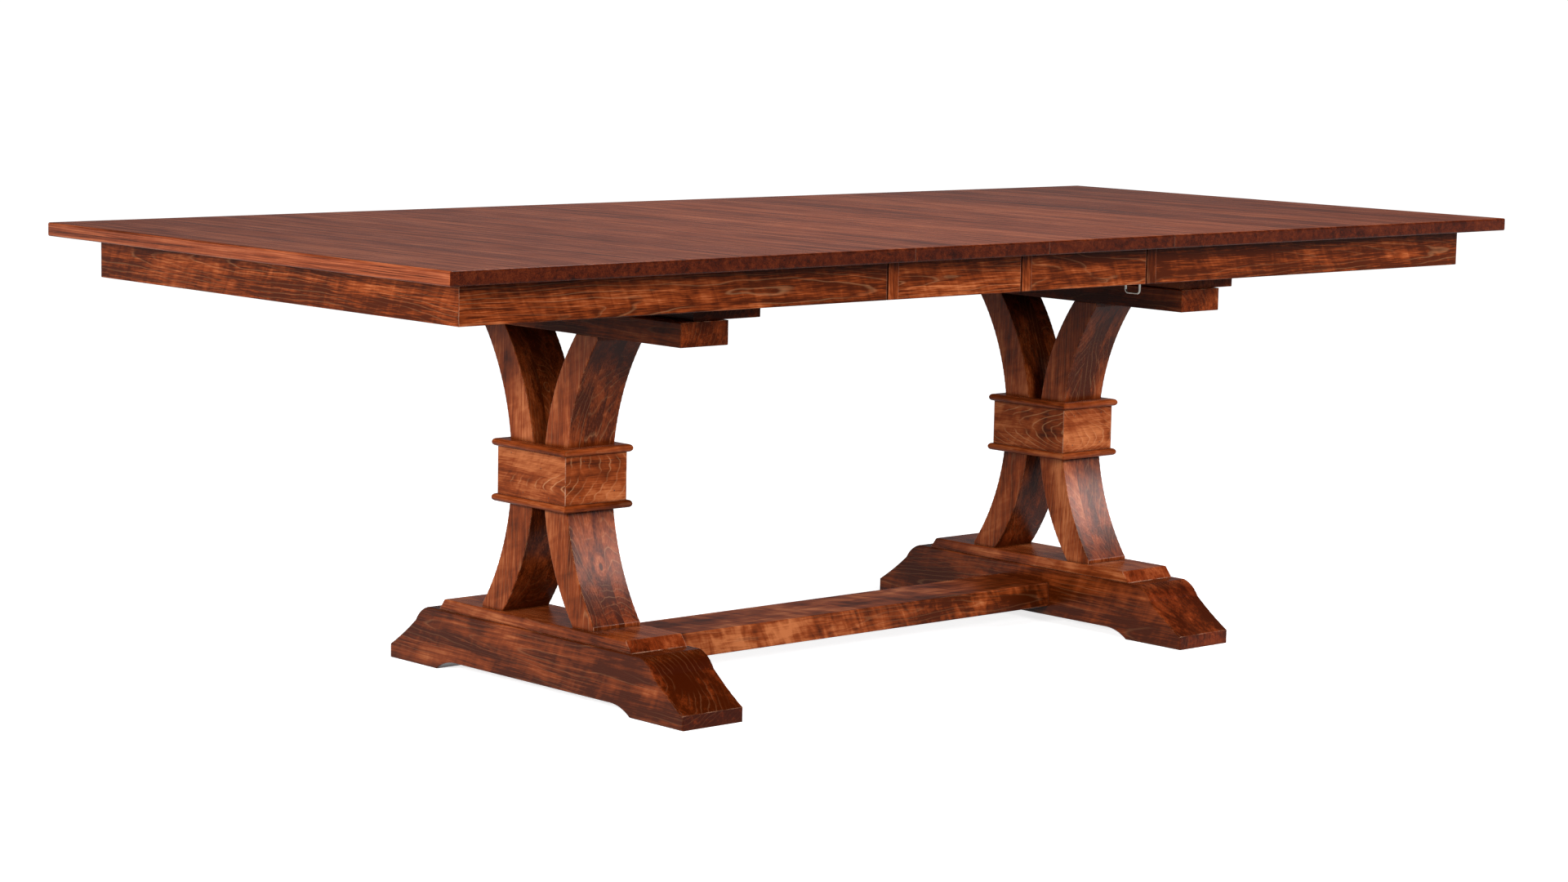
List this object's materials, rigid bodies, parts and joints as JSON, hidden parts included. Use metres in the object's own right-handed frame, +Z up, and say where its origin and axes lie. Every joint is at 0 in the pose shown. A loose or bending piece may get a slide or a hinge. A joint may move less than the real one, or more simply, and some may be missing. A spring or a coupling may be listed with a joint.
{
  "type": "trestle dining table",
  "caption": "Trestle dining table: plank top on curved double-leg pedestals, halves on geared slides, lift-out leaves.",
  "frame": {"origin": "on the floor under the middle of the table top", "axes": "+X along the table towards its right-hand end, -Y towards the front long side, +Z up"},
  "size_m": [2.4384, 1.0922, 0.762],
  "materials": {
    "top_wood": "dark reddish-brown stained maple, satin, grain across the table",
    "apron_wood": "reddish-brown stained maple, satin, grain along the apron",
    "end_block_wood": "reddish-brown stained maple, satin, upright grain",
    "foot_wood": "reddish-brown stained maple, satin, grain along the foot",
    "plinth_wood": "reddish-brown stained maple, satin, grain along the plinth",
    "leg_wood": "reddish-brown stained maple, satin, upright grain",
    "collar_wood": "reddish-brown stained maple, satin, level cathedral grain",
    "bead_wood": "reddish-brown stained maple, satin",
    "beam_wood": "reddish-brown stained maple, satin, grain along the beam",
    "stretcher_wood": "reddish-brown stained maple, satin, grain along the stretcher",
    "hidden_wood": "plain unstained hardwood, sanded",
    "slide_wood": "pale hardwood with a thin clear sealer",
    "screw_steel": "zinc-plated steel",
    "gear_steel": "machined steel, lightly oiled",
    "lock_wire": "bright zinc-plated wire",
    "lock_plate": "bright zinc-plated pressed steel"
  },
  "bodies": {
    "base": {"left_foot": "foot_wood", "left_plinth": "plinth_wood", "left_leg_front": "leg_wood", "left_leg_rear": "leg_wood", "left_collar_core": "hidden_wood", "left_collar_side_panels": "collar_wood", "left_collar_end_panels": "collar_wood", "left_collar_upper_bead": "bead_wood", "left_collar_lower_bead": "bead_wood", "left_beam": "beam_wood", "left_mounting_board": "beam_wood", "right_foot": "foot_wood", "right_plinth": "plinth_wood", "right_leg_front": "leg_wood", "right_leg_rear": "leg_wood", "right_collar_core": "hidden_wood", "right_collar_side_panels": "collar_wood", "right_collar_end_panels": "collar_wood", "right_collar_upper_bead": "bead_wood", "right_collar_lower_bead": "bead_wood", "right_beam": "beam_wood", "right_mounting_board": "beam_wood", "stretcher": "stretcher_wood", "front_fixed_rail": "slide_wood", "rear_fixed_rail": "slide_wood", "mounting_bolts": "screw_steel"},
    "left_half": {"left_top": "top_wood", "left_apron_front": "apron_wood", "left_apron_rear": "apron_wood", "left_apron_end": "apron_wood", "left_corner_blocks": "hidden_wood", "left_runner_front": "slide_wood", "left_runner_rear": "slide_wood", "left_racks": "slide_wood", "left_runner_screws": "screw_steel"},
    "right_half": {"right_top": "top_wood", "right_apron_front": "apron_wood", "right_apron_rear": "apron_wood", "right_apron_end": "apron_wood", "right_end_blocks": "end_block_wood", "right_corner_blocks": "hidden_wood", "right_runner_front": "slide_wood", "right_runner_rear": "slide_wood", "right_racks": "slide_wood", "right_runner_screws": "screw_steel", "bail_brackets": "lock_plate"},
    "leaf_a": {"leaf_a_top": "top_wood", "leaf_a_apron_front": "apron_wood", "leaf_a_apron_rear": "apron_wood", "leaf_a_end_blocks": "end_block_wood"},
    "leaf_b": {"leaf_b_top": "top_wood", "leaf_b_apron_front": "apron_wood", "leaf_b_apron_rear": "apron_wood", "leaf_b_end_blocks": "end_block_wood", "leaf_b_catches": "lock_plate"},
    "front_gear": {"front_pinion": "gear_steel"},
    "rear_gear": {"rear_pinion": "gear_steel"},
    "front_lock_bail": {"front_bail": "lock_wire"},
    "rear_lock_bail": {"rear_bail": "lock_wire"}
  },
  "joints": [
    {"name": "left_half_slide", "type": "slide", "parent": "base", "child": "left_half", "axis": [-1, 0, 0], "range_m": [0, 0.04]},
    {"name": "right_half_slide", "type": "slide", "parent": "base", "child": "right_half", "axis": [1, 0, 0], "range_m": [0, 0.04]},
    {"name": "front_gear_spin", "type": "hinge", "parent": "base", "child": "front_gear", "pos_m": [0, -0.27, 0.7325], "axis": [0, 0, 1], "range_deg": [0, 96]},
    {"name": "rear_gear_spin", "type": "hinge", "parent": "base", "child": "rear_gear", "pos_m": [0, 0.27, 0.7325], "axis": [0, 0, 1], "range_deg": [0, 96]},
    {"name": "leaf_a_lift", "type": "slide", "parent": "base", "child": "leaf_a", "axis": [0, 0, 1], "range_m": [0, 0.15]},
    {"name": "leaf_b_lift", "type": "slide", "parent": "base", "child": "leaf_b", "axis": [0, 0, 1], "range_m": [0, 0.15]},
    {"name": "front_bail_swing", "type": "hinge", "parent": "right_half", "child": "front_lock_bail", "pos_m": [0.3248, -0.435, 0.7335], "axis": [0, 1, 0], "range_deg": [-90, 85]},
    {"name": "rear_bail_swing", "type": "hinge", "parent": "right_half", "child": "rear_lock_bail", "pos_m": [0.3248, 0.435, 0.7335], "axis": [0, 1, 0], "range_deg": [-90, 85]}
  ],
  "couplings": [
    {"joint": "right_half_slide", "follows": "left_half_slide", "ratio": 1},
    {"joint": "front_gear_spin", "follows": "left_half_slide", "rad_per_m": 41.667},
    {"joint": "rear_gear_spin", "follows": "left_half_slide", "rad_per_m": 41.667}
  ]
}
